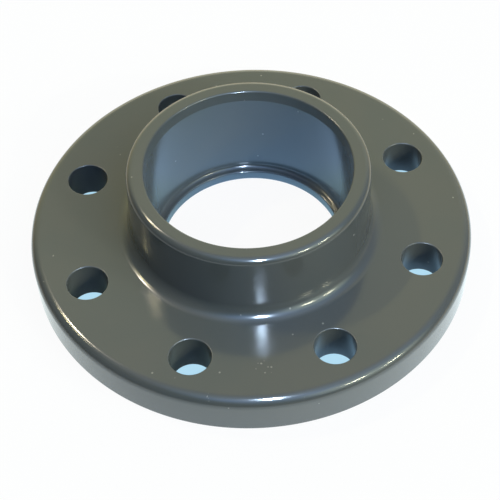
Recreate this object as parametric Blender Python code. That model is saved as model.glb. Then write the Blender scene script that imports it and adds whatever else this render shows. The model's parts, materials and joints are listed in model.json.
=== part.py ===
"""Full face flange for solvent cement pipe: one turned body with a socketed hub and a ring of bolt holes.

Metres, +Z up. The origin is the centre of the gasket face, and +Z runs up the pipe axis to the hub's rim.
"""
import math

import bmesh
import bpy

# Pipe that the flange takes. The other sizes build outward and upward from it.
PIPE_DIAMETER = 0.090

# Pipe stop: the ledge at the socket's foot, and the bore through it
STOP_THICKNESS = 0.005
STOP_LEDGE_WIDTH = 0.00375
STOP_EDGE_RADIUS = 0.0008
BORE_BOTTOM_EDGE_RADIUS = 0.0006

# Socket for the pipe's end, loose at the mouth and tight at the foot, with a lead-in cone
SOCKET_DEPTH = 0.049
SOCKET_MOUTH_CLEARANCE = 0.0001
SOCKET_FOOT_INTERFERENCE = 0.0002
SOCKET_FOOT_RADIUS = 0.0008
LEAD_IN_LENGTH = 0.005
LEAD_IN_DEGREES = 10.0
LEAD_IN_EDGE_RADIUS = 0.0008

# Hub, which leans in by its draft from the root to the rim
HUB_ROOT_WALL = 0.0094
HUB_DRAFT_DEGREES = 1.5
HUB_ROOT_FILLET = 0.006
HUB_RIM_EDGE_RADIUS = 0.003

# Bolt holes, and the gap from the foot of the hub's fillet to the holes
BOLT_HOLE_COUNT = 8
BOLT_HOLE_DIAMETER = 0.018
BOLT_HOLE_EDGE_RADIUS = 0.0005
BOLT_SEAT_GAP = 0.0106

# Flange plate, and the land outside the bolt holes
FLANGE_THICKNESS = 0.019
OUTER_LAND = 0.011
FLANGE_TOP_EDGE_RADIUS = 0.0045
FLANGE_BOTTOM_EDGE_RADIUS = 0.0008

# Fineness of the mesh
BODY_SEGMENTS = 96
HOLE_SEGMENTS = 24
ARC_SAG = 0.00008
LEAST_ARC_STEPS = 2
CUTTER_OVERRUN = 0.002
SHARP_EDGE_DEGREES = 32.0
MERGE_DISTANCE = 0.000001

# Grey unplasticised PVC with a moulded, half-gloss skin
PVC_COLOUR = (0.105, 0.108, 0.098, 1.0)
PVC_ROUGHNESS = 0.3
PVC_IOR = 1.54


def clear_scene():
    """Remove every object that the scene starts with."""
    for old in list(bpy.data.objects):
        bpy.data.objects.remove(old, do_unlink=True)


def unit(start, end):
    """Direction from start to end in the section plane, and the distance between them."""
    run = end[0] - start[0]
    rise = end[1] - start[1]
    length = math.hypot(run, rise)
    return (run / length, rise / length), length


def arc_steps(radius, turn):
    """How many chords follow an arc so that none strays from it by more than the sag."""
    chord_angle = 2 * math.acos(max(0.0, 1 - ARC_SAG / radius))
    return max(LEAST_ARC_STEPS, math.ceil(abs(turn) / chord_angle))


def rounded_corner(before, corner, after, radius):
    """Points of the arc that rounds one corner, kept within half of each neighbouring edge."""
    to_before, room_before = unit(corner, before)
    to_after, room_after = unit(corner, after)
    cosine = to_before[0] * to_after[0] + to_before[1] * to_after[1]
    half_angle = math.acos(max(-1.0, min(1.0, cosine))) / 2
    setback = min(radius / math.tan(half_angle), room_before / 2, room_after / 2)
    radius = setback * math.tan(half_angle)
    reach = radius / math.sin(half_angle)
    bisector, _ = unit((0, 0), (to_before[0] + to_after[0], to_before[1] + to_after[1]))
    centre = (corner[0] + bisector[0] * reach, corner[1] + bisector[1] * reach)
    first = math.atan2(corner[1] + to_before[1] * setback - centre[1],
                       corner[0] + to_before[0] * setback - centre[0])
    last = math.atan2(corner[1] + to_after[1] * setback - centre[1],
                      corner[0] + to_after[0] * setback - centre[0])
    turn = (last - first + math.pi) % math.tau - math.pi
    steps = arc_steps(radius, turn)
    angles = [first + turn * step / steps for step in range(steps + 1)]
    return [(centre[0] + radius * math.cos(a), centre[1] + radius * math.sin(a)) for a in angles]


def rounded_outline(corners):
    """Closed outline through corners given as (distance from the axis, height, edge radius)."""
    points = []
    for index, (distance, height, radius) in enumerate(corners):
        before = corners[index - 1][:2]
        after = corners[(index + 1) % len(corners)][:2]
        if radius > 0:
            points += rounded_corner(before, (distance, height), after, radius)
        else:
            points.append((distance, height))
    return points


def overall_height():
    """Height of the hub's rim above the gasket face."""
    return STOP_THICKNESS + SOCKET_DEPTH


def hub_root_radius():
    """Radius at which the hub's wall meets the plate."""
    return PIPE_DIAMETER / 2 + HUB_ROOT_WALL


def bolt_circle_radius():
    """Radius of the circle through the bolt holes' centres."""
    return hub_root_radius() + HUB_ROOT_FILLET + BOLT_SEAT_GAP + BOLT_HOLE_DIAMETER / 2


def body_corners():
    """The flange's section, down its outer side, across the gasket face, up the bore and back."""
    outer = bolt_circle_radius() + BOLT_HOLE_DIAMETER / 2 + OUTER_LAND
    bore = PIPE_DIAMETER / 2 - STOP_LEDGE_WIDTH
    socket_foot = (PIPE_DIAMETER - SOCKET_FOOT_INTERFERENCE) / 2
    socket_mouth = (PIPE_DIAMETER + SOCKET_MOUTH_CLEARANCE) / 2
    lead_in_mouth = socket_mouth + LEAD_IN_LENGTH * math.tan(math.radians(LEAD_IN_DEGREES))
    height = overall_height()
    hub_rim = hub_root_radius() - (height - FLANGE_THICKNESS) * math.tan(math.radians(HUB_DRAFT_DEGREES))
    return [
        (outer, FLANGE_THICKNESS, FLANGE_TOP_EDGE_RADIUS),
        (outer, 0.0, FLANGE_BOTTOM_EDGE_RADIUS),
        (bore, 0.0, BORE_BOTTOM_EDGE_RADIUS),
        (bore, STOP_THICKNESS, STOP_EDGE_RADIUS),
        (socket_foot, STOP_THICKNESS, SOCKET_FOOT_RADIUS),
        (socket_mouth, height - LEAD_IN_LENGTH, 0.0),
        (lead_in_mouth, height, LEAD_IN_EDGE_RADIUS),
        (hub_rim, height, HUB_RIM_EDGE_RADIUS),
        (hub_root_radius(), FLANGE_THICKNESS, HUB_ROOT_FILLET),
    ]


def hole_section():
    """Section of a bolt hole's cutter, flared at both faces so that the hole's edges come out round."""
    wall = BOLT_HOLE_DIAMETER / 2
    edge = BOLT_HOLE_EDGE_RADIUS
    steps = arc_steps(edge, math.pi / 2)
    flare = []
    for step in range(steps + 1):
        angle = math.pi / 2 * step / steps
        flare.append((wall + edge - edge * math.sin(angle), edge - edge * math.cos(angle)))
    top = FLANGE_THICKNESS + CUTTER_OVERRUN
    upper = [(distance, FLANGE_THICKNESS - depth) for distance, depth in flare]
    lower = [(distance, depth) for distance, depth in reversed(flare)]
    rim = wall + edge
    return [(0.0, top), (rim, top)] + upper + lower + [(rim, -CUTTER_OVERRUN), (0.0, -CUTTER_OVERRUN)]


def revolve(bm, section, closed, segments, centre=(0.0, 0.0)):
    """Turn a section about an upright axis through centre. The faces join bm."""
    rings = []
    for distance, height in section:
        if distance <= MERGE_DISTANCE:
            rings.append([bm.verts.new((centre[0], centre[1], height))])
            continue
        ring = []
        for segment in range(segments):
            angle = math.tau * segment / segments
            x = centre[0] + distance * math.cos(angle)
            y = centre[1] + distance * math.sin(angle)
            ring.append(bm.verts.new((x, y, height)))
        rings.append(ring)
    pairs = list(zip(rings, rings[1:]))
    if closed:
        pairs.append((rings[-1], rings[0]))
    for above, below in pairs:
        for segment in range(segments):
            following = (segment + 1) % segments
            corners = [above[segment % len(above)], below[segment % len(below)],
                       below[following % len(below)], above[following % len(above)]]
            distinct = list(dict.fromkeys(corners))
            if len(distinct) > 2:
                bm.faces.new(distinct)


def object_from(bm, name):
    """Link a new object that holds the mesh built in bm."""
    bmesh.ops.recalc_face_normals(bm, faces=bm.faces)
    mesh = bpy.data.meshes.new(name)
    bm.to_mesh(mesh)
    bm.free()
    made = bpy.data.objects.new(name, mesh)
    bpy.context.scene.collection.objects.link(made)
    return made


def bolt_hole_centres():
    """Centres of the bolt holes, straddling the X and Y axes."""
    radius = bolt_circle_radius()
    pitch = math.tau / BOLT_HOLE_COUNT
    angles = [pitch * (hole + 0.5) for hole in range(BOLT_HOLE_COUNT)]
    return [(radius * math.cos(angle), radius * math.sin(angle)) for angle in angles]


def make_bolt_hole_cutter():
    """One guide object holding a flared plug for each bolt hole."""
    bm = bmesh.new()
    for centre in bolt_hole_centres():
        revolve(bm, hole_section(), False, HOLE_SEGMENTS, centre)
    cutter = object_from(bm, "bolt_hole_cutter")
    cutter.hide_render = True
    cutter.display_type = "WIRE"
    return cutter


def make_pvc_material():
    """Half-gloss grey PVC."""
    material = bpy.data.materials.new("grey_pvc")
    material.use_nodes = True
    shader = material.node_tree.nodes["Principled BSDF"]
    shader.inputs["Base Color"].default_value = PVC_COLOUR
    shader.inputs["Roughness"].default_value = PVC_ROUGHNESS
    shader.inputs["Metallic"].default_value = 0.0
    shader.inputs["IOR"].default_value = PVC_IOR
    material.diffuse_color = PVC_COLOUR
    return material


def bake_modifiers(target):
    """Replace an object's mesh by the one that its modifiers give."""
    depsgraph = bpy.context.evaluated_depsgraph_get()
    result = bpy.data.meshes.new_from_object(target.evaluated_get(depsgraph))
    target.modifiers.clear()
    target.data = result
    result.name = target.name


def make_flange():
    """The whole moulding: turned body, drilled through by the bolt holes."""
    bm = bmesh.new()
    revolve(bm, rounded_outline(body_corners()), True, BODY_SEGMENTS)
    flange = object_from(bm, "flange")
    drilling = flange.modifiers.new("bolt_holes", "BOOLEAN")
    drilling.operation = "DIFFERENCE"
    drilling.solver = "EXACT"
    drilling.object = make_bolt_hole_cutter()
    bake_modifiers(flange)
    flange.data.materials.clear()
    flange.data.materials.append(make_pvc_material())
    flange.data.shade_smooth()
    flange.data.set_sharp_from_angle(angle=math.radians(SHARP_EDGE_DEGREES))
    return flange


clear_scene()
make_flange()
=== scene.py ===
"""Full face flange in grey PVC, lying on its gasket face: fine turned body, moulded finish and studio.

Metres, +Z up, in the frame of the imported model. The origin is the centre of the gasket face.
"""

import json
import math

import bmesh
import bpy
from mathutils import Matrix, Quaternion, Vector


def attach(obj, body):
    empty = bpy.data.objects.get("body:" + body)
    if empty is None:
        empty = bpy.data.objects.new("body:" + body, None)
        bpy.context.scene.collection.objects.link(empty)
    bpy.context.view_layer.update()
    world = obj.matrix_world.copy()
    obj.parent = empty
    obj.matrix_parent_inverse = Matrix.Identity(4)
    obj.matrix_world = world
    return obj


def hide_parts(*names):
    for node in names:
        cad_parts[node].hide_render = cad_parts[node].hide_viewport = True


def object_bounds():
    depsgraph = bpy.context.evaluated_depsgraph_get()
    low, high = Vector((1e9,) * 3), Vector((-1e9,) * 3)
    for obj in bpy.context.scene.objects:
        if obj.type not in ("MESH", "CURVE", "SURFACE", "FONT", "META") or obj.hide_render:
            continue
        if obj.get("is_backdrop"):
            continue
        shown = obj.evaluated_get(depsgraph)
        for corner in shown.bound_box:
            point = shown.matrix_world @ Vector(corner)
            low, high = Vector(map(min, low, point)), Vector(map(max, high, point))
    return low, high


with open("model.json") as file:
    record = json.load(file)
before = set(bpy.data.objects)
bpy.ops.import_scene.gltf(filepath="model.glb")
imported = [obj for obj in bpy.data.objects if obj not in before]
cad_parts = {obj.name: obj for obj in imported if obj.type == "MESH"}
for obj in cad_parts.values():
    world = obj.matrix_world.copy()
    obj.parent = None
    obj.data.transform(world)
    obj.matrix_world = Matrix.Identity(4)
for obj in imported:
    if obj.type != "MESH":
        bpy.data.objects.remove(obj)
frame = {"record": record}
CAD_LOW, CAD_HIGH = (list(corner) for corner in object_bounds())

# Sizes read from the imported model: its box, its mounts and its openings
RECORD = frame["record"]
MOUNTS = {mount["name"]: mount["pos_m"] for mount in RECORD["mounts"]}
OPENINGS = {opening["name"]: opening["box_m"] for opening in RECORD["physics"]["openings"]}
OUTER_RADIUS = CAD_HIGH[0]
OVERALL_HEIGHT = CAD_HIGH[2]
PLATE_THICKNESS = MOUNTS["bolt_seat_face"][2]
BOLT_HOLES = [box for name, box in OPENINGS.items() if name.startswith("bolt_hole")]
BOLT_HOLE_CENTRES = [((low[0] + high[0]) / 2, (low[1] + high[1]) / 2) for low, high in BOLT_HOLES]
BOLT_CIRCLE_RADIUS = math.hypot(*BOLT_HOLE_CENTRES[0])

# Section of the body, as in the solid. The finish adds a fuller fillet at the socket's foot and a soft crease
# at the lead-in.
TOP_EDGE_RADIUS = 0.0045
BOTTOM_EDGE_RADIUS = 0.0008
HUB_ROOT_RADIUS = 0.0544
HUB_DRAFT_DEGREES = 1.5
HUB_FILLET_RADIUS = 0.006
HUB_RIM_EDGE_RADIUS = 0.003
SOCKET_MOUTH_RADIUS = 0.04505
SOCKET_ROOT_RADIUS = 0.0449
SOCKET_CORNER_RADIUS = 0.0022
LEAD_IN_LENGTH = 0.005
LEAD_IN_DEGREES = 10.0
LEAD_IN_CREASE_RADIUS = 0.0012
MOUTH_EDGE_RADIUS = 0.0008
STOP_THICKNESS = 0.005
STOP_EDGE_RADIUS = 0.0008
BORE_RADIUS = 0.04125
BORE_EDGE_RADIUS = 0.0006
HOLE_RADIUS = 0.009
HOLE_EDGE_RADIUS = 0.0005

# Radii inside the solid, in the hub's wall and round the bore. They part inner surfaces from outer ones.
HUB_WALL_MIDDLE = (SOCKET_MOUTH_RADIUS + HUB_ROOT_RADIUS) / 2
BORE_WALL_MIDDLE = (BORE_RADIUS + HUB_ROOT_RADIUS) / 2

# Fineness of the mesh
BODY_SEGMENTS = 360
HOLE_SEGMENTS = 72
ARC_STEP_DEGREES = 9.0
LEAST_ARC_STEPS = 2
HOLD_GAP = 0.0003
CUTTER_OVERRUN = 0.002
FACE_AREA_WEIGHT = 100

# Camera that took the photograph, in its 500 x 500 frame
SENSOR_WIDTH_MM = 36.0
LENS_MM = 98.27
CAMERA_PLACE = (-0.01599, -0.40248, 0.49087)
CAMERA_AIM = (-0.00074, 0.00003, -0.00399)
CAMERA_ROLL_DEGREES = 2.430

BLACK = (0.0, 0.0, 0.0, 1.0)
WHITE = (1.0, 1.0, 1.0, 1.0)


def unit(start, end):
    """Direction from start to end in the section plane, and the distance between them."""
    run = end[0] - start[0]
    rise = end[1] - start[1]
    length = math.hypot(run, rise)
    return (run / length, rise / length), length


def rounded_corner(before, corner, after, radius):
    """Points of the arc that rounds a corner, with one more point on each side that holds the shading."""
    to_before, _ = unit(corner, before)
    to_after, _ = unit(corner, after)
    cosine = to_before[0] * to_after[0] + to_before[1] * to_after[1]
    half_angle = math.acos(max(-1.0, min(1.0, cosine))) / 2
    setback = radius / math.tan(half_angle)
    reach = radius / math.sin(half_angle)
    bisector, _ = unit((0, 0), (to_before[0] + to_after[0], to_before[1] + to_after[1]))
    centre = (corner[0] + bisector[0] * reach, corner[1] + bisector[1] * reach)
    start = (corner[0] + to_before[0] * setback, corner[1] + to_before[1] * setback)
    end = (corner[0] + to_after[0] * setback, corner[1] + to_after[1] * setback)
    first = math.atan2(start[1] - centre[1], start[0] - centre[0])
    last = math.atan2(end[1] - centre[1], end[0] - centre[0])
    turn = (last - first + math.pi) % math.tau - math.pi
    steps = max(LEAST_ARC_STEPS, math.ceil(math.degrees(abs(turn)) / ARC_STEP_DEGREES))
    angles = [first + turn * step / steps for step in range(steps + 1)]
    arc = [(centre[0] + radius * math.cos(a), centre[1] + radius * math.sin(a)) for a in angles]
    hold_start = (start[0] + to_before[0] * HOLD_GAP, start[1] + to_before[1] * HOLD_GAP)
    hold_end = (end[0] + to_after[0] * HOLD_GAP, end[1] + to_after[1] * HOLD_GAP)
    return [hold_start] + arc + [hold_end]


def rounded_outline(corners):
    """Closed outline through corners given as (distance from the axis, height, edge radius)."""
    points = []
    for index, (distance, height, radius) in enumerate(corners):
        before = corners[index - 1][:2]
        after = corners[(index + 1) % len(corners)][:2]
        points += rounded_corner(before, (distance, height), after, radius)
    return points


def body_section():
    """The flange's section, down its outer side, across the gasket face, up the bore and back."""
    hub_length = OVERALL_HEIGHT - PLATE_THICKNESS
    hub_rim = HUB_ROOT_RADIUS - hub_length * math.tan(math.radians(HUB_DRAFT_DEGREES))
    mouth = SOCKET_MOUTH_RADIUS + LEAD_IN_LENGTH * math.tan(math.radians(LEAD_IN_DEGREES))
    return rounded_outline([
        (OUTER_RADIUS, PLATE_THICKNESS, TOP_EDGE_RADIUS),
        (OUTER_RADIUS, 0.0, BOTTOM_EDGE_RADIUS),
        (BORE_RADIUS, 0.0, BORE_EDGE_RADIUS),
        (BORE_RADIUS, STOP_THICKNESS, STOP_EDGE_RADIUS),
        (SOCKET_ROOT_RADIUS, STOP_THICKNESS, SOCKET_CORNER_RADIUS),
        (SOCKET_MOUTH_RADIUS, OVERALL_HEIGHT - LEAD_IN_LENGTH, LEAD_IN_CREASE_RADIUS),
        (mouth, OVERALL_HEIGHT, MOUTH_EDGE_RADIUS),
        (hub_rim, OVERALL_HEIGHT, HUB_RIM_EDGE_RADIUS),
        (HUB_ROOT_RADIUS, PLATE_THICKNESS, HUB_FILLET_RADIUS),
    ])


def hole_section():
    """Section of a bolt hole's cutter, flared at both faces so that the hole's edges come out round."""
    steps = math.ceil(90 / ARC_STEP_DEGREES)
    flare = []
    for step in range(steps + 1):
        angle = math.pi / 2 * step / steps
        flare.append((HOLE_RADIUS + HOLE_EDGE_RADIUS * (1 - math.sin(angle)),
                      HOLE_EDGE_RADIUS * (1 - math.cos(angle))))
    top = PLATE_THICKNESS + CUTTER_OVERRUN
    rim = HOLE_RADIUS + HOLE_EDGE_RADIUS
    hold = HOLE_EDGE_RADIUS + HOLD_GAP
    upper = [(distance, PLATE_THICKNESS - depth) for distance, depth in flare]
    lower = [(distance, depth) for distance, depth in reversed(flare)]
    held = [(HOLE_RADIUS, PLATE_THICKNESS - hold), (HOLE_RADIUS, hold)]
    return [(0.0, top), (rim, top)] + upper + held + lower + [(rim, -CUTTER_OVERRUN), (0.0, -CUTTER_OVERRUN)]


def revolve(bm, section, closed, segments, centre=(0.0, 0.0)):
    """Turn a section about an upright axis through centre. The faces join bm."""
    rings = []
    for distance, height in section:
        if distance == 0.0:
            rings.append([bm.verts.new((centre[0], centre[1], height))])
            continue
        angles = [math.tau * segment / segments for segment in range(segments)]
        rings.append([bm.verts.new((centre[0] + distance * math.cos(angle),
                                    centre[1] + distance * math.sin(angle), height)) for angle in angles])
    pairs = list(zip(rings, rings[1:]))
    if closed:
        pairs.append((rings[-1], rings[0]))
    for above, below in pairs:
        for segment in range(segments):
            following = (segment + 1) % segments
            corners = [above[segment % len(above)], below[segment % len(below)],
                       below[following % len(below)], above[following % len(above)]]
            distinct = list(dict.fromkeys(corners))
            bm.faces.new(distinct)


def object_from(bm, name):
    """Link a new object that holds the mesh built in bm."""
    bmesh.ops.recalc_face_normals(bm, faces=bm.faces)
    mesh = bpy.data.meshes.new(name)
    bm.to_mesh(mesh)
    bm.free()
    made = bpy.data.objects.new(name, mesh)
    bpy.context.scene.collection.objects.link(made)
    return made


def bake_modifiers(target):
    """Replace an object's mesh by the one that its modifiers give."""
    depsgraph = bpy.context.evaluated_depsgraph_get()
    result = bpy.data.meshes.new_from_object(target.evaluated_get(depsgraph))
    target.modifiers.clear()
    target.data = result
    result.name = target.name


def make_body():
    """The moulding: the turned body, pierced by the bolt holes where the record has them."""
    bm = bmesh.new()
    for centre in BOLT_HOLE_CENTRES:
        revolve(bm, hole_section(), False, HOLE_SEGMENTS, centre)
    cutter = object_from(bm, "bolt_hole_cutter")

    bm = bmesh.new()
    revolve(bm, body_section(), True, BODY_SEGMENTS)
    body = object_from(bm, "flange_moulding")
    drilling = body.modifiers.new("bolt_holes", "BOOLEAN")
    drilling.operation = "DIFFERENCE"
    drilling.solver = "EXACT"
    drilling.object = cutter
    bake_modifiers(body)
    bpy.data.objects.remove(cutter, do_unlink=True)

    body.data.shade_smooth()
    weighting = body.modifiers.new("flat_faces_stay_flat", "WEIGHTED_NORMAL")
    weighting.mode = "FACE_AREA"
    weighting.weight = FACE_AREA_WEIGHT
    bake_modifiers(body)
    body.data.materials.clear()
    body.data.materials.append(make_pvc())
    return body


class Nodes:
    """Short calls for building one node tree. A value is a number, a colour or another node's output."""

    def __init__(self, tree):
        self.tree = tree

    def add(self, kind, inputs=None, **settings):
        """A new node, with values for some of its inputs."""
        node = self.tree.nodes.new(kind)
        for name, value in settings.items():
            setattr(node, name, value)
        for name, value in (inputs or {}).items():
            if isinstance(value, bpy.types.NodeSocket):
                self.tree.links.new(value, node.inputs[name])
            else:
                node.inputs[name].default_value = value
        return node

    def math(self, operation, first, second=0.0):
        """Output of one sum on two numbers."""
        return self.add("ShaderNodeMath", {0: first, 1: second}, operation=operation).outputs[0]

    def vector(self, operation, first, second=BLACK[:3]):
        """Output of one sum on two vectors that gives a vector."""
        node = self.add("ShaderNodeVectorMath", {0: first, 1: second}, operation=operation)
        return node.outputs["Vector"]

    def measure(self, operation, first, second=BLACK[:3]):
        """Output of one sum on two vectors that gives a number."""
        node = self.add("ShaderNodeVectorMath", {0: first, 1: second}, operation=operation)
        return node.outputs["Value"]

    def smooth(self, value, low, high, to_low=0.0, to_high=1.0):
        """Output that eases from to_low to to_high as value goes from low to high."""
        inputs = {"Value": value, "From Min": low, "From Max": high, "To Min": to_low, "To Max": to_high}
        return self.add("ShaderNodeMapRange", inputs, interpolation_type="SMOOTHSTEP").outputs["Result"]

    # The mix node has its numbers at inputs 2 and 3 and output 0, its colours at inputs 6 and 7 and output 2
    def mix(self, factor, first, second):
        """Output that mixes two numbers."""
        inputs = {"Factor": factor, 2: first, 3: second}
        return self.add("ShaderNodeMix", inputs, data_type="FLOAT").outputs[0]

    def blend(self, factor, first, second):
        """Output that mixes two colours."""
        inputs = {"Factor": factor, 6: first, 7: second}
        return self.add("ShaderNodeMix", inputs, data_type="RGBA").outputs[2]

    def blend_shaders(self, factor, first, second):
        """Output that mixes two shaders."""
        return self.add("ShaderNodeMixShader", {0: factor, 1: first, 2: second}).outputs[0]

    def glow(self, colour):
        """Output of a shader that shows a colour as it is."""
        return self.add("ShaderNodeEmission", {"Color": colour, "Strength": 1.0}).outputs[0]

    def noise(self, vector, scale, detail, roughness):
        """Output of a noise of about 1/scale metres."""
        inputs = {"Vector": vector, "Scale": scale, "Detail": detail, "Roughness": roughness}
        return self.add("ShaderNodeTexNoise", inputs).outputs["Fac"]

    def bump(self, height, pattern, under=None):
        """Output of the normal that a pattern of this height gives, on top of another if there is one."""
        inputs = {"Strength": 1.0, "Distance": height, "Height": pattern}
        if under is not None:
            inputs["Normal"] = under
        return self.add("ShaderNodeBump", inputs).outputs["Normal"]

    def axes(self, place):
        """Outputs of a point's coordinates, by name."""
        return self.add("ShaderNodeSeparateXYZ", {0: place}).outputs

    def distance_from_axis(self, place):
        """Output of a point's distance from the Z axis."""
        return self.measure("LENGTH", self.vector("MULTIPLY", place, (1.0, 1.0, 0.0)))

    def along_floor(self, place, degrees, reach):
        """Output that eases from 0 to 1 over a reach from the axis, along a level direction."""
        return self.smooth(self.measure("DOT_PRODUCT", place, direction_to(degrees, 0.0)), *reach)

    def from_nearest_hole(self, place):
        """Outputs of a point's x and y from the centre of the bolt hole in its sector."""
        axes = self.axes(place)
        pitch = math.tau / len(BOLT_HOLES)
        sector = self.math("FLOOR", self.math("DIVIDE", self.math("ARCTAN2", axes["Y"], axes["X"]), pitch))
        angle = self.math("MULTIPLY", self.math("ADD", sector, 0.5), pitch)
        hole_x = self.math("MULTIPLY", self.math("COSINE", angle), BOLT_CIRCLE_RADIUS)
        hole_y = self.math("MULTIPLY", self.math("SINE", angle), BOLT_CIRCLE_RADIUS)
        return self.math("SUBTRACT", axes["X"], hole_x), self.math("SUBTRACT", axes["Y"], hole_y)


def direction_to(azimuth, elevation):
    """Unit vector from the origin at an azimuth and elevation in degrees."""
    turn, rise = math.radians(azimuth), math.radians(elevation)
    return Vector((math.cos(turn) * math.cos(rise), math.sin(turn) * math.cos(rise), math.sin(rise)))


# Grey PVC-U with a moulded skin: two tones that the mottle mixes, and a range of roughness for each surface
PVC_GREY = (0.087, 0.091, 0.087, 1.0)
PVC_OLIVE = (0.094, 0.094, 0.088, 1.0)
PVC_IOR = 1.54
PVC_ROUGHNESS = (0.12, 0.15)
SOCKET_ROUGHNESS = (0.17, 0.21)
SOCKET_ROUGHNESS_HEIGHTS = (STOP_THICKNESS + SOCKET_CORNER_RADIUS, 0.010)
HOLE_ROUGHNESS = 0.30
# Each noise's scale, detail and roughness, and the range of it that counts
MOTTLE_NOISE = (22.0, 4.0, 0.55)
MOTTLE_RANGE = (0.35, 0.65)
SHEEN_NOISE = (66.0, 3.0, 0.5)
SHEEN_RANGE = (0.3, 0.7)
PEEL_NOISE = (420.0, 2.0, 0.5)
PEEL_HEIGHT = 0.000004
GRAIN_NOISE = (3500.0, 1.0, 0.5)
GRAIN_HEIGHT = 0.000001
# Specks of dust, few all over, and gathered in scuffs given by place, reach and the most share of specks
PVC_DUST = (0.24, 0.22, 0.18, 1.0)
DUST_ROUGHNESS = 0.5
DUST_SCALE = 750.0
DUST_SHARE = 0.0022
DUST_SIZE = (0.18, 0.48)
SCUFFS = (
    ((0.0003, -0.0819, 0.019), 0.0050, 0.42),
    ((-0.0233, -0.0942, 0.018), 0.0022, 0.60),
    ((0.0148, -0.0971, 0.018), 0.0018, 0.60),
)


def skin_roughness(nodes, place):
    """Roughness of the clean skin: glossy, with a satin socket wall and duller bolt holes."""
    sheen = nodes.noise(place, *SHEEN_NOISE)
    skin = nodes.smooth(sheen, *SHEEN_RANGE, *PVC_ROUGHNESS)
    satin = nodes.smooth(sheen, *SHEEN_RANGE, *SOCKET_ROUGHNESS)
    inside = nodes.math("LESS_THAN", nodes.distance_from_axis(place), HUB_WALL_MIDDLE)
    above_stop = nodes.smooth(nodes.axes(place)["Z"], *SOCKET_ROUGHNESS_HEIGHTS)
    roughness = nodes.mix(nodes.math("MULTIPLY", inside, above_stop), skin, satin)

    x, y = nodes.from_nearest_hole(place)
    squares = nodes.math("ADD", nodes.math("MULTIPLY", x, x), nodes.math("MULTIPLY", y, y))
    in_hole = nodes.math("LESS_THAN", nodes.math("SQRT", squares), HOLE_RADIUS + HOLE_EDGE_RADIUS)
    return nodes.mix(in_hole, roughness, HOLE_ROUGHNESS)


def dust_cover(nodes, place):
    """Share of each spot that is covered by a speck of dust, from 0 to 1."""
    share = DUST_SHARE
    for spot, reach, most in SCUFFS:
        away = nodes.measure("DISTANCE", place, spot)
        share = nodes.math("MAXIMUM", share, nodes.smooth(away, reach / 2, reach, most, 0.0))
    cells = nodes.add("ShaderNodeTexVoronoi", {"Vector": place, "Scale": DUST_SCALE}).outputs
    chance = nodes.add("ShaderNodeSeparateColor", {0: cells["Color"]}).outputs[0]
    picked = nodes.math("LESS_THAN", chance, share)
    return nodes.math("MULTIPLY", picked, nodes.smooth(cells["Distance"], *DUST_SIZE, 1.0, 0.0))


def make_pvc():
    """Moulded grey PVC: mottled colour, orange peel, fine grain and specks of dust."""
    material = bpy.data.materials.new("grey_pvc_moulded")
    material.use_nodes = True
    nodes = Nodes(material.node_tree)
    place = nodes.add("ShaderNodeTexCoord").outputs["Object"]
    dust = dust_cover(nodes, place)

    mottle = nodes.smooth(nodes.noise(place, *MOTTLE_NOISE), *MOTTLE_RANGE)
    colour = nodes.blend(dust, nodes.blend(mottle, PVC_GREY, PVC_OLIVE), PVC_DUST)
    roughness = nodes.mix(dust, skin_roughness(nodes, place), DUST_ROUGHNESS)
    peel = nodes.bump(PEEL_HEIGHT, nodes.noise(place, *PEEL_NOISE))
    skin = nodes.bump(GRAIN_HEIGHT, nodes.noise(place, *GRAIN_NOISE), peel)

    shader = material.node_tree.nodes["Principled BSDF"]
    links = material.node_tree.links
    links.new(colour, shader.inputs["Base Color"])
    links.new(roughness, shader.inputs["Roughness"])
    links.new(skin, shader.inputs["Normal"])
    shader.inputs["IOR"].default_value = PVC_IOR
    return material


# Floor: white paper as the camera sees it, with the flange's soft shadow. Seen through the bolt holes it is
# blue, a painted shade. Matt surfaces see paper with painted shade away from the flange on one side.
FLOOR_HALF_SIZE = 4.0
FLOOR_DROP = 0.0001
FLOOR_PAPER = (0.80, 0.80, 0.80, 1.0)
FLOOR_DARK = (0.10, 0.10, 0.10, 1.0)
FLOOR_SHADE = (0.47, 0.76, 0.93, 1.0)
FLOOR_GLOW = 0.93
# Ring under the bore that lights the bore's wall blue, from this radius outward
BORE_GLOW = (1.3, 2.6, 4.4, 1.0)
BORE_GLOW_FROM = 0.030
# Open floor as the gloss sees it, in painted light: lit round the flange, brighter at the front right,
# warm far off behind it.
# A reach is the two distances in metres between which one tone eases into the next.
GLOSS_NEAR = (1.16, 1.28, 1.28, 1.0)
GLOSS_NEAR_FRONT = (1.38, 1.56, 1.64, 1.0)
GLOSS_FRONT_DEGREES = -45.0
GLOSS_FRONT_REACH = (-0.05, 0.17)
GLOSS_NEAR_REACH = (0.12, 0.20)
GLOSS_FAR = (1.18, 0.96, 0.55, 1.0)
GLOSS_FAR_DEGREES = 60.0
GLOSS_FAR_REACH = (-0.35, 0.25)
# Floor under the bore as the gloss sees it, a painted blue light, at the middle and dimmer at the sides
GLOSS_BORE = (0.60, 0.96, 1.46, 1.0)
GLOSS_BORE_SIDE = (0.50, 0.80, 0.92, 1.0)
GLOSS_BORE_SIDE_REACH = (0.010, 0.032)
# Floor under a bolt hole as the gloss sees it: painted shade at the near side and painted light at the
# far one, less of it on the left
GLOSS_HOLE_NEAR = (0.03, 0.05, 0.03, 1.0)
GLOSS_HOLE_FAR = (0.50, 0.90, 1.28, 1.0)
GLOSS_HOLE_LEFT = (0.12, 0.19, 0.18, 1.0)
GLOSS_HOLE_LEFT_REACH = (-0.04, 0.02)
GLOSS_HOLE_REACH = (0.002, 0.008)


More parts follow.
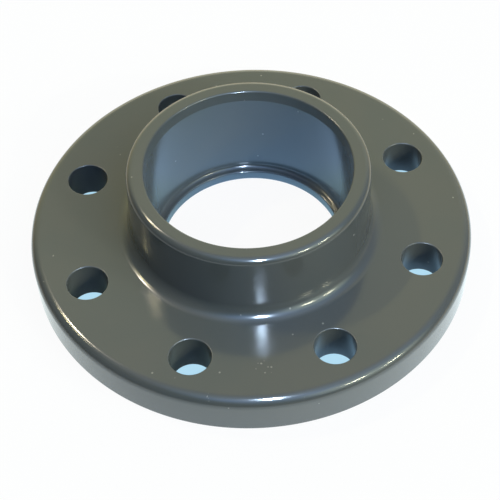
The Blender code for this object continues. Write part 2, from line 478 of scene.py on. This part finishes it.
def floor_in_gloss(nodes, place, away, lit, under_plate, in_bore):
    """Colour of the floor as the flange's gloss sees it, in painted light and shade."""
    axes = nodes.axes(place)
    front = nodes.along_floor(place, GLOSS_FRONT_DEGREES, GLOSS_FRONT_REACH)
    near = nodes.blend(front, GLOSS_NEAR, GLOSS_NEAR_FRONT)
    open_floor = nodes.blend(away, near, nodes.blend(lit, BLACK, GLOSS_FAR))
    # Painted light and shade on the floor under the bolt holes, as the gloss sees it
    hole_far = nodes.blend(nodes.smooth(axes["X"], *GLOSS_HOLE_LEFT_REACH), GLOSS_HOLE_LEFT, GLOSS_HOLE_FAR)
    _, behind_hole = nodes.from_nearest_hole(place)
    in_holes = nodes.blend(nodes.smooth(behind_hole, *GLOSS_HOLE_REACH), GLOSS_HOLE_NEAR, hole_far)
    aside = nodes.smooth(nodes.math("ABSOLUTE", axes["X"]), *GLOSS_BORE_SIDE_REACH)
    bore = nodes.blend(aside, GLOSS_BORE, GLOSS_BORE_SIDE)
    return nodes.blend(in_bore, nodes.blend(under_plate, open_floor, in_holes), bore)


def make_floor_material():
    """Pale floor with one look for the camera, one for the gloss and one for matt surfaces."""
    material = bpy.data.materials.new("pale_floor")
    material.use_nodes = True
    tree = material.node_tree
    tree.nodes.remove(tree.nodes["Principled BSDF"])
    nodes = Nodes(tree)
    place = nodes.add("ShaderNodeTexCoord").outputs["Object"]
    from_axis = nodes.measure("LENGTH", place)
    under_body = nodes.math("LESS_THAN", from_axis, OUTER_RADIUS - TOP_EDGE_RADIUS)
    in_bore = nodes.math("LESS_THAN", from_axis, BORE_WALL_MIDDLE)
    under_plate = nodes.math("SUBTRACT", under_body, in_bore)
    away = nodes.smooth(from_axis, *GLOSS_NEAR_REACH)
    lit = nodes.along_floor(place, GLOSS_FAR_DEGREES, GLOSS_FAR_REACH)

    rays = nodes.add("ShaderNodeLightPath").outputs
    direct = nodes.math("MAXIMUM", rays["Is Camera Ray"], rays["Is Transmission Ray"])
    # Painted shade: for matt surfaces the paper turns dark away from the flange, except on the lit side
    pale = nodes.math("MAXIMUM", nodes.math("MAXIMUM", nodes.math("SUBTRACT", 1.0, away), lit), direct)
    paper_colour = nodes.blend(pale, FLOOR_DARK, FLOOR_PAPER)
    paper = nodes.add("ShaderNodeBsdfDiffuse", {"Color": paper_colour}).outputs[0]
    # The camera sees white, and under the plate a painted blue shade
    plain = nodes.glow(nodes.blend(under_plate, WHITE, FLOOR_SHADE))
    gloss = nodes.glow(floor_in_gloss(nodes, place, away, lit, under_plate, in_bore))
    in_ring = nodes.math("MULTIPLY", in_bore, nodes.math("GREATER_THAN", from_axis, BORE_GLOW_FROM))

    surface = nodes.blend_shaders(nodes.math("MULTIPLY", direct, FLOOR_GLOW), paper, plain)
    surface = nodes.blend_shaders(rays["Is Glossy Ray"], surface, gloss)
    matt_in_ring = nodes.math("MULTIPLY", in_ring, rays["Is Diffuse Ray"])
    surface = nodes.blend_shaders(matt_in_ring, surface, nodes.glow(BORE_GLOW))
    tree.links.new(surface, tree.nodes["Material Output"].inputs["Surface"])
    material.cycles.emission_sampling = "NONE"
    return material


def make_floor():
    """A wide pale floor just under the gasket face."""
    bm = bmesh.new()
    half = FLOOR_HALF_SIZE
    corners = ((-half, -half), (half, -half), (half, half), (-half, half))
    bm.faces.new([bm.verts.new((x, y, -FLOOR_DROP)) for x, y in corners])
    floor = object_from(bm, "floor")
    floor.data.materials.append(make_floor_material())
    floor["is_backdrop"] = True


# Room: azimuth and elevation in degrees, cosines at the soft edge and at the bright core, and colour
ROOM_LIGHTS = (
    # Wall behind the flange, and its pale foot
    (88.0, 10.0, 0.40, 0.85, (0.93, 0.91, 0.47)),
    (88.0, 0.0, 0.80, 0.98, (1.30, 1.25, 1.12)),
    # Ceiling
    (0.0, 90.0, 0.70, 0.97, (0.46, 0.45, 0.50)),
    # Blue tint at the right
    (30.0, 20.0, 0.70, 0.95, (0.0, 0.0, 0.12)),
    # Daylight high at the front right, its core above the camera, and its foot at the right
    (-60.0, 58.0, 0.60, 0.95, (0.26, 0.62, 1.16)),
    (-84.0, 56.0, 0.90, 0.98, (0.35, 0.61, 1.30)),
    (-40.0, 32.0, 0.85, 0.97, (1.80, 2.00, 1.45)),
)


def make_room():
    """World light: soft lobes in a dark room, and plain white where the camera sees it."""
    world = bpy.data.worlds.new("room")
    bpy.context.scene.world = world
    world.use_nodes = True
    tree = world.node_tree
    nodes = Nodes(tree)
    ray = nodes.add("ShaderNodeTexCoord").outputs["Generated"]
    light = BLACK[:3]
    for azimuth, elevation, edge, core, colour in ROOM_LIGHTS:
        towards = nodes.measure("DOT_PRODUCT", ray, direction_to(azimuth, elevation))
        lobe = {0: colour, "Scale": nodes.smooth(towards, edge, core)}
        tinted = nodes.add("ShaderNodeVectorMath", lobe, operation="SCALE").outputs["Vector"]
        light = nodes.vector("ADD", light, tinted)
    seen = nodes.blend(nodes.add("ShaderNodeLightPath").outputs["Is Camera Ray"], light, WHITE)
    tree.links.new(seen, tree.nodes["Background"].inputs["Color"])
    world.cycles.sampling_method = "NONE"


# Lamps: name, azimuth and elevation in degrees, distance, width and height, radiance, colour, what shows it
LAMPS = (
    ("flash", -86.5, 49.0, 0.228, 0.008, 0.005, 4600.0, (0.60, 0.78, 1.0), "gloss"),
    ("flash_tail", -85.5, 54.7, 0.625, 0.030, 0.010, 380.0, (0.60, 0.78, 1.0), "gloss"),
    ("flash_low", -86.8, 42.4, 0.232, 0.010, 0.006, 1700.0, (0.60, 0.78, 1.0), "gloss"),
    ("flash_glow", -86.0, 46.5, 0.63, 0.036, 0.070, 8.0, (0.60, 0.78, 1.0), "gloss"),
    ("lamp_right_front", -48.0, 33.0, 1.8, 0.22, 0.035, 280.0, (1.0, 0.98, 0.72), "all"),
    ("lamp_right", -30.5, 29.0, 1.8, 0.20, 0.035, 204.0, (1.0, 0.98, 0.72), "all"),
    ("tube_left", 149.0, 53.0, 1.8, 0.46, 0.022, 84.0, (1.0, 0.88, 0.52), "gloss"),
    ("tube_left_low", 150.0, 50.5, 1.8, 0.05, 0.05, 150.0, (1.0, 0.88, 0.46), "gloss"),
    ("lamp_left", 131.0, 57.0, 1.8, 0.17, 0.036, 330.0, (1.0, 0.87, 0.68), "gloss"),
    ("lamp_left_soft", 150.0, 55.0, 1.8, 0.25, 0.05, 220.0, (1.0, 0.88, 0.38), "matt"),
)


def make_lamps():
    """Small lamps, most of them shown only by the gloss. Each faces the origin and lies level."""
    for name, azimuth, elevation, distance, width, height, radiance, colour, shown_by in LAMPS:
        light = bpy.data.lights.new(name, "AREA")
        light.shape = "RECTANGLE"
        light.size = width
        light.size_y = height
        light.energy = radiance * math.pi * width * height
        light.color = colour
        lamp = bpy.data.objects.new(name, light)
        lamp.location = direction_to(azimuth, elevation) * distance
        lamp.rotation_mode = "QUATERNION"
        lamp.rotation_quaternion = (-lamp.location).to_track_quat("-Z", "Y")
        lamp.visible_diffuse = shown_by != "gloss"
        lamp.visible_glossy = shown_by != "matt"
        lamp.visible_camera = False
        bpy.context.scene.collection.objects.link(lamp)


def make_camera():
    """The photograph's camera."""
    data = bpy.data.cameras.new("camera")
    data.sensor_width = SENSOR_WIDTH_MM
    data.lens = LENS_MM
    camera = bpy.data.objects.new("camera", data)
    camera.location = CAMERA_PLACE
    facing = (Vector(CAMERA_AIM) - Vector(CAMERA_PLACE)).to_track_quat("-Z", "Y")
    camera.rotation_mode = "QUATERNION"
    camera.rotation_quaternion = facing @ Quaternion((0, 0, 1), -math.radians(CAMERA_ROLL_DEGREES))
    bpy.context.scene.collection.objects.link(camera)
    bpy.context.scene.camera = camera


body = make_body()
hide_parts("flange")
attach(body, "root")
make_floor()
make_room()
make_lamps()
make_camera()
bpy.context.scene.view_settings.view_transform = "Standard"
